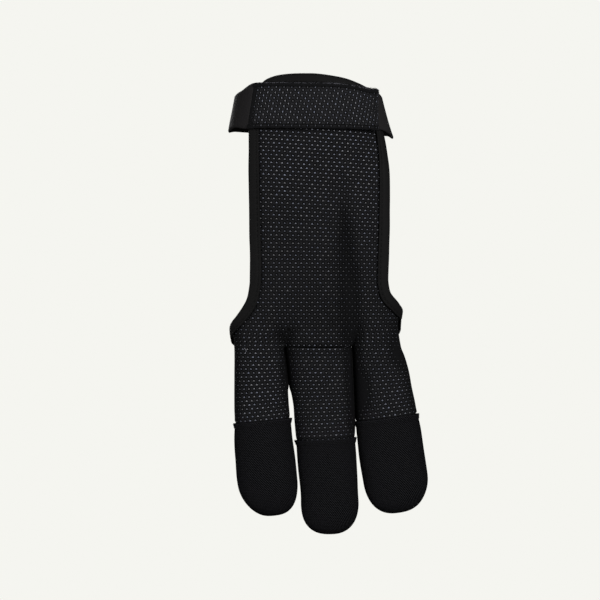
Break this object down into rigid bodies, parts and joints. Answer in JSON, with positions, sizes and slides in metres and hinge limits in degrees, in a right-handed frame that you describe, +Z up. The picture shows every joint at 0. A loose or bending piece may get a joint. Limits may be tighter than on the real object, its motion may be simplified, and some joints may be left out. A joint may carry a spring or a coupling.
{
  "type": "archery glove",
  "caption": "Worn archery glove: air-mesh palm panel, covered index, middle and ring fingers with woven tips, bound edges and a wrist strap.",
  "frame": {"origin": "centre of the wrist opening, at the middle of the strap's height", "axes": "+Z up the forearm, fingers towards -Z, palm side towards -Y, thumb side towards -X"},
  "size_m": [0.0901, 0.0466, 0.2062],
  "materials": {
    "mesh": "black laminated air mesh with a staggered pattern of small lighter glints",
    "stretch": "plain black stretch cloth, matt",
    "tip_weave": "coarse black woven nylon, matt",
    "binding": "smooth black binding tape, slightly satin",
    "elastic": "black knitted elastic, matt",
    "closure": "black hook-and-loop pad"
  },
  "bodies": {
    "root": {"palm_panel": "mesh", "middle_finger_front": "mesh", "finger_backs": "stretch", "index_middle_gusset": "stretch", "middle_ring_gusset": "stretch", "index_cap": "tip_weave", "middle_cap": "tip_weave", "ring_cap": "tip_weave", "thumb_edge_binding": "binding", "little_edge_binding": "binding", "top_edge_binding": "binding", "back_edge_binding": "binding", "strap_band": "elastic", "strap_tab": "mesh", "closure_pad": "closure"}
  },
  "joints": []
}
